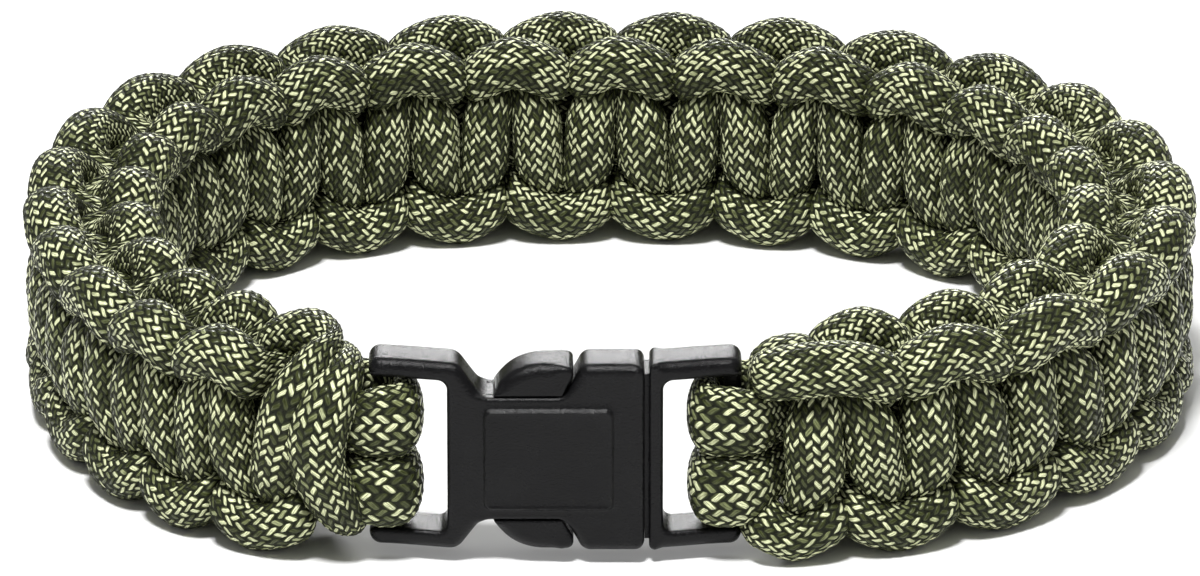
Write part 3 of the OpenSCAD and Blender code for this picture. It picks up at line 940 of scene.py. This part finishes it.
def socket_edge(q):
    """Edge radius: small in the slot, at the waist and at the mouth, larger elsewhere."""
    x = q[:, 0]
    at_waist = ease((x - WAIST_START + 0.6) / 0.8) * (1 - ease((x - WAIST_END - 0.1) / 0.9))
    r = EDGE_R - WAIST_LESS * at_waist
    r = r - MOUTH_LESS * ease((x - MOUTH_END + 0.95) / 0.85)
    return np.where(near_slot(q) & (x < 0), SLOT_EDGE_R, r)


def plug_edge(q):
    """Edge radius: small in the slot and smaller at the seam, larger elsewhere."""
    x = q[:, 0]
    r = np.where(near_slot(q) & (x > 0), SLOT_EDGE_R, EDGE_R)
    return np.where(x < PLUG_START + 0.6, SEAM_EDGE_R, r)


def frame_half(q):
    """Half thickness of the plug's frame and the lobes, the same all over."""
    return np.full(len(q), FRAME_T / 2)


# The lobes: the gap beside the waist, where the foot and the end lie, the end's corners with
# their heights, the highest point, and the middle and half sizes of the ellipse that the
# tapering side follows
LOBE_GAP = 0.06
FOOT_START, FOOT_END = -4.79, 0.58
LOBE_END = 1.42
LOBE_CORNER = 0.52
END_LOW, END_HIGH = 6.7, 7.5
LOBE_TOP = (0.5, 7.69, 0)
TAPER_X, TAPER_W = -0.8, 4.4
TAPER_L, TAPER_H = 4.1, 3.38


def lobe_loop():
    """Outline of the upper lobe: a straight foot beside the waist, an end beside the mouth's
    shoulder, a slightly falling top, and a quarter of an ellipse down to the foot."""
    foot = HALF_WAIST + LOBE_GAP
    taper = [(TAPER_X + TAPER_L * math.cos(t), TAPER_W + TAPER_H * math.sin(t), 0)
             for t in np.radians(np.arange(90, 151, 5))]
    end = [(LOBE_END, END_LOW, LOBE_CORNER), (LOBE_END, END_HIGH, LOBE_CORNER)]
    return rounded_loop([(FOOT_START, foot, 0), (FOOT_END, foot, 0), *end, LOBE_TOP, *taper],
                        spacing=1.0)


def lobe_edge(q):
    """Edge radius: small along the foot and at the end, large over the top."""
    x, w = q[:, 0], q[:, 1]
    return 0.2 + 0.8 * ease((w - 5.3) / 1.0) * (1 - 0.72 * ease((x + 0.6) / 1.4))


bar_x, bar_y = BAR_W / 2, BAR_T / 2
round_bar = rounded_loop([(x, y, BAR_CORNER) for x, y in (
    (bar_x, -bar_y), (bar_x, bar_y), (-bar_x, bar_y), (-bar_x, -bar_y))], spacing=1.0, turn=15)
# The bars run this far up and down, into the rails
BAR_END = HALF_SLOT + 0.5

# The socket, with the room for the prongs cut out behind its mouth
socket_upper = [
    (MOUTH_END, HALF_H, MOUTH_CORNER), (MOUTH_START - 0.3, HALF_H, MOUTH_SHOULDER),
    (WAIST_END + 0.1, HALF_WAIST, WAIST_CORNER), (WAIST_START, HALF_WAIST, FRAME_SHOULDER),
    (FRAME_END - 0.1, HALF_H, FRAME_SHOULDER),
    (-HALF_BUCKLE, HALF_H, FRAME_CORNER), (-HALF_BUCKLE, HALF_SLOT, SLOT_OUT_CORNER),
    (-SLOT_IN, HALF_SLOT, SLOT_IN_CORNER)]
socket_plate = rounded_plate(mirrored_loop(socket_upper), socket_half, socket_edge,
                             marks=[panel_line(LINE_GAP * k) for k in range(LINES)])
ROOM_START = LOBE_START - 2 * PRONG_GAP
ROOM_H = HALF_WAIST + 0.04
buckle_piece("buckle_socket_new", [socket_plate, bar(round_bar - [BAR_X, 0], -BAR_END, BAR_END)],
             cut=(ROOM_START, HALF_BUCKLE, -ROOM_H, ROOM_H, PRONG_T / 2 + PRONG_GAP))

# The plug: its frame and bar, then the prongs' lobes, arms and roots, the tongue, and the collar
# and neck that close the seam
plug_lower = [
    (PLUG_START, -HALF_H, SEAM_CORNER), (HALF_BUCKLE, -HALF_H, FRAME_CORNER),
    (HALF_BUCKLE, -HALF_SLOT, SLOT_OUT_CORNER), (SLOT_IN, -HALF_SLOT, SLOT_IN_CORNER)]
ARM_IN = HALF_WAIST - ARM_H
# How far the prongs and the rest go into the plug's base
REACH = PLUG_START + 0.5
ROOT_END = 0.4
COLLAR_H = 6.9
half_t = PRONG_T / 2
lobe = rounded_plate(lobe_loop(), frame_half, lobe_edge)
arm = block(ROOM_START + 0.05, REACH, ARM_IN, HALF_WAIST, half_t)
root = block(LOBE_START + 0.45, ROOT_END, HALF_WAIST - 0.1, HALF_WAIST + 0.5, half_t)
tongue = block(WAIST_END - LOBE_L / 2, REACH, -ARM_IN / 2, ARM_IN / 2, half_t)
collar = block(MOUTH_END + 0.01, REACH, -COLLAR_H, COLLAR_H, FRAME_T / 2 - 0.55)
neck = block(MOUTH_END - 0.8, REACH, -ARM_IN - 0.2, ARM_IN + 0.2, half_t - 0.03)
buckle_piece("buckle_plug_new", [
    rounded_plate(mirrored_loop(plug_lower), frame_half, plug_edge),
    bar(round_bar + [BAR_X, 0], -BAR_END, BAR_END),
    lobe, mirrored(lobe), arm, mirrored(arm), root, mirrored(root), tongue, collar, neck])


# Floor, light and camera

# The lamps aim at the middle of the loop
AIM = Vector((0, 0, 0.01))


def lamp(name, at, size, power, size_y=None):
    """Soft lamp, square, or oblong where it has a second size."""
    d = bpy.data.lights.new(name, "AREA")
    d.energy = power
    d.size = size
    if size_y:
        d.shape = "RECTANGLE"
        d.size_y = size_y
    o = bpy.data.objects.new(name, d)
    bpy.context.scene.collection.objects.link(o)
    o.location = at
    o.rotation_euler = (AIM - Vector(at)).to_track_quat("-Z", "Y").to_euler()


# Half width of the floor, in metres
FAR = 3
floor_mesh = bpy.data.meshes.new("floor")
floor_mesh.from_pydata([(-FAR, -FAR, 0), (FAR, -FAR, 0), (FAR, FAR, 0), (-FAR, FAR, 0)], [],
                       [(0, 1, 2, 3)])
floor = bpy.data.objects.new("floor", floor_mesh)
bpy.context.scene.collection.objects.link(floor)
floor_mat, floor_tree, floor_bsdf = new_material("pale_floor")
wire(floor_tree, floor_bsdf, [
    ("Base Color", grey(0.93)), ("Roughness", 0.9), ("Specular IOR Level", 0.1)])
floor_mesh.materials.append(floor_mat)

lamp("high_front", (-0.1, -0.38, 0.98), 0.2, 13.5)
lamp("back_strip", (0.0, 1.0, 0.38), 0.5, 6.4, 0.16)
lamp("overhead", (0.05, 0.15, 1.2), 1.0, 1.0)

world = bpy.data.worlds.new("studio")
bpy.context.scene.world = world
world.use_nodes = True
wire(world.node_tree, world.node_tree.nodes["Background"], [(0, WHITE), (1, 0.27)])

# The photo's camera: how high it looks from, how far, its focal length in the photo's pixels,
# and the point it looks at
ELEVATION = math.radians(21.2)
DISTANCE = 868.0
FOCAL_PX = 10706.0
PHOTO_W = 1200
SENSOR_W = 36.0
TARGET = Vector((-0.78, 0, HALF_W - 0.73))
forward = Vector((0, math.cos(ELEVATION), -math.sin(ELEVATION)))
cam_data = bpy.data.cameras.new("camera")
cam_data.sensor_width = SENSOR_W
cam_data.lens = FOCAL_PX / PHOTO_W * SENSOR_W
cam_data.clip_start, cam_data.clip_end = 0.05, 20
camera = bpy.data.objects.new("camera", cam_data)
bpy.context.scene.collection.objects.link(camera)
camera.location = (TARGET - forward * DISTANCE) * MM
camera.rotation_euler = forward.to_track_quat("-Z", "Y").to_euler()
bpy.context.scene.camera = camera
bpy.context.scene.view_settings.view_transform = "Standard"
